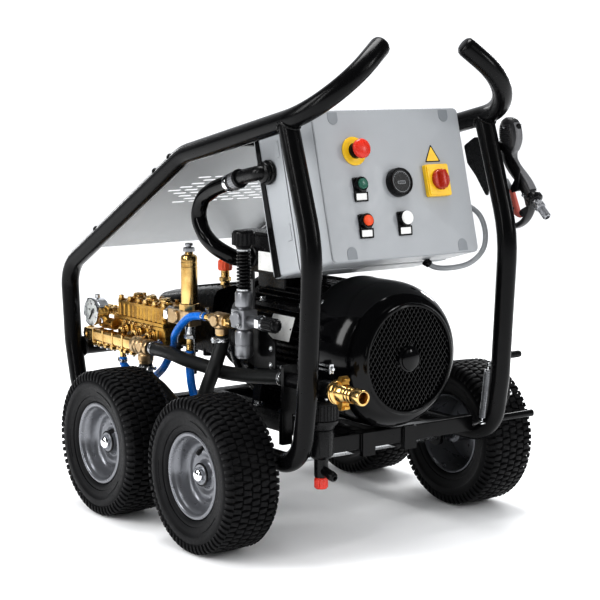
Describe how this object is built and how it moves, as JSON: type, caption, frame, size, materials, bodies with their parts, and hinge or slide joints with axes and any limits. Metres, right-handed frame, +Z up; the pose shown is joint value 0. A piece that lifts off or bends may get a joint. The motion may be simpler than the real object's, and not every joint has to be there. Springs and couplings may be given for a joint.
{
  "type": "pressure washer",
  "caption": "Wheeled electric cold-water pressure washer: tubular frame, finned motor, brass-headed pump, tilted control box, water filter and spray gun.",
  "frame": {"origin": "on the ground, under the middle of the machine's overall length and width", "axes": "+X along the length towards the operator's handles, +Y along the axles towards the side that carries the spray gun, +Z up"},
  "size_m": [1.1088, 0.825, 1.0645],
  "materials": {
    "frame_black": "satin black powder coat",
    "cast_black": "gloss black enamel",
    "tyre_rubber": "matt rubber with block tread",
    "rim_silver": "silver enamel",
    "chrome": "polished",
    "steel": "machined",
    "brass": "polished forged brass",
    "zinc_grey": "bead blasted",
    "black_plastic": "fine moulded texture",
    "black_hose": "smooth extruded",
    "blue_hose": "smooth extruded",
    "box_grey": "light grey moulded",
    "sheet_grey": "light grey coated sheet",
    "red_plastic": "gloss",
    "yellow_plastic": "gloss",
    "green_plastic": "gloss",
    "white_plastic": "gloss"
  },
  "bodies": {
    "frame": {"side_frame_left": "frame_black", "side_frame_right": "frame_black", "pump_end_cross_tube": "frame_black", "cross_beam_operator_end": "frame_black", "cross_beam_pump_end": "frame_black", "motor_rail_left": "frame_black", "motor_rail_right": "frame_black", "control_box_bracket": "frame_black", "gun_holder": "frame_black", "motor_body": "cast_black", "fan_cover": "cast_black", "bell_housing": "cast_black", "pump_crankcase": "cast_black", "axle_pump_end": "chrome", "axle_operator_end": "chrome", "gauge_case": "chrome", "pump_head": "brass", "inlet_manifold": "brass", "unloader_valve": "brass", "brass_elbow": "brass", "inlet_coupling": "brass", "regulator_body": "zinc_grey", "terminal_box": "black_plastic", "regulator_spring": "black_plastic", "filter_head": "black_plastic", "filter_bowl": "black_plastic", "conduit_gland": "black_plastic", "hour_meter": "black_plastic", "suction_hose": "black_hose", "return_hose": "black_hose", "cable_conduit": "black_hose", "bypass_hose": "blue_hose", "drain_hose": "blue_hose", "control_box_lid": "box_grey", "control_box_body": "box_grey", "top_cover": "sheet_grey", "emergency_stop_collar": "yellow_plastic", "main_switch_plate": "yellow_plastic", "pilot_lamp": "white_plastic"},
    "wheel_pump_left": {"tyre_pump_left": "tyre_rubber", "rim_pump_left": "rim_silver"},
    "wheel_pump_right": {"tyre_pump_right": "tyre_rubber", "rim_pump_right": "rim_silver"},
    "wheel_operator_left": {"tyre_operator_left": "tyre_rubber", "rim_operator_left": "rim_silver"},
    "wheel_operator_right": {"tyre_operator_right": "tyre_rubber", "rim_operator_right": "rim_silver"},
    "rotor": {"rotor_shaft_and_fan": "steel"},
    "unloader_adjuster": {"unloader_adjuster": "brass"},
    "gauge_pointer": {"gauge_pointer": "black_plastic"},
    "oil_cap": {"oil_cap": "red_plastic"},
    "regulator_knob": {"regulator_knob": "black_plastic"},
    "drain_cap": {"drain_cap": "red_plastic"},
    "emergency_stop_button": {"emergency_stop_button": "red_plastic"},
    "main_switch_knob": {"main_switch_knob": "red_plastic"},
    "start_button": {"start_button": "green_plastic"},
    "stop_button": {"stop_button": "red_plastic"},
    "spray_gun": {"spray_gun": "black_plastic"},
    "gun_trigger": {"gun_trigger": "red_plastic"},
    "brake_lever": {"brake_lever": "frame_black"}
  },
  "joints": [
    {"name": "wheel_pump_left_spin", "type": "hinge", "parent": "frame", "child": "wheel_pump_left", "pos_m": [-0.1585, 0, 0.165], "axis": [0, 1, 0], "continuous": true},
    {"name": "wheel_pump_right_spin", "type": "hinge", "parent": "frame", "child": "wheel_pump_right", "pos_m": [-0.1585, 0, 0.165], "axis": [0, 1, 0], "continuous": true},
    {"name": "wheel_operator_left_spin", "type": "hinge", "parent": "frame", "child": "wheel_operator_left", "pos_m": [0.2275, 0, 0.165], "axis": [0, 1, 0], "continuous": true},
    {"name": "wheel_operator_right_spin", "type": "hinge", "parent": "frame", "child": "wheel_operator_right", "pos_m": [0.2275, 0, 0.165], "axis": [0, 1, 0], "continuous": true},
    {"name": "rotor_spin", "type": "hinge", "parent": "frame", "child": "rotor", "pos_m": [0.1415, 0, 0.4], "axis": [1, 0, 0], "continuous": true},
    {"name": "unloader_adjust", "type": "hinge", "parent": "frame", "child": "unloader_adjuster", "pos_m": [-0.0905, -0.2, 0.6], "axis": [0, 0, 1], "range_deg": [0, 360]},
    {"name": "gauge_needle", "type": "hinge", "parent": "frame", "child": "gauge_pointer", "pos_m": [-0.4625, -0.24, 0.414], "axis": [0, 1, 0], "range_deg": [0, 270], "stiffness_Nm_per_rad": 0.004, "springref_deg": -11.46},
    {"name": "oil_cap_turn", "type": "hinge", "parent": "frame", "child": "oil_cap", "pos_m": [-0.1695, -0.05, 0.54], "axis": [0, 0, 1], "range_deg": [0, 360]},
    {"name": "regulator_turn", "type": "hinge", "parent": "frame", "child": "regulator_knob", "pos_m": [0.1715, -0.23, 0.64], "axis": [0, 0, 1], "range_deg": [0, 720]},
    {"name": "drain_cap_turn", "type": "hinge", "parent": "frame", "child": "drain_cap", "pos_m": [0.4055, -0.2, 0.158], "axis": [0, 0, -1], "range_deg": [0, 360]},
    {"name": "emergency_stop_press", "type": "slide", "parent": "frame", "child": "emergency_stop_button", "axis": [-0.9681, 0, -0.2504], "range_m": [0, 0.005]},
    {"name": "main_switch_turn", "type": "hinge", "parent": "frame", "child": "main_switch_knob", "pos_m": [0.41205, 0.11, 0.76801], "axis": [0.9681, 0, 0.2504], "range_deg": [-90, 0]},
    {"name": "start_press", "type": "slide", "parent": "frame", "child": "start_button", "axis": [-0.9681, 0, -0.2504], "range_m": [0, 0.003], "stiffness_N_per_m": 300, "springref_m": -0.002},
    {"name": "stop_press", "type": "slide", "parent": "frame", "child": "stop_button", "axis": [-0.9681, 0, -0.2504], "range_m": [0, 0.003], "stiffness_N_per_m": 300, "springref_m": -0.002},
    {"name": "gun_pull_off", "type": "slide", "parent": "frame", "child": "spray_gun", "axis": [0, 1, 0], "range_m": [0, 0.06]},
    {"name": "trigger_pull", "type": "hinge", "parent": "spray_gun", "child": "gun_trigger", "pos_m": [0.4595, 0.307, 0.69], "axis": [0, 1, 0], "range_deg": [0, 8], "stiffness_Nm_per_rad": 0.8, "springref_deg": -17.19},
    {"name": "brake_press", "type": "hinge", "parent": "frame", "child": "brake_lever", "pos_m": [0.4285, 0.29, 0.292], "axis": [0, 1, 0], "range_deg": [0, 20]}
  ]
}
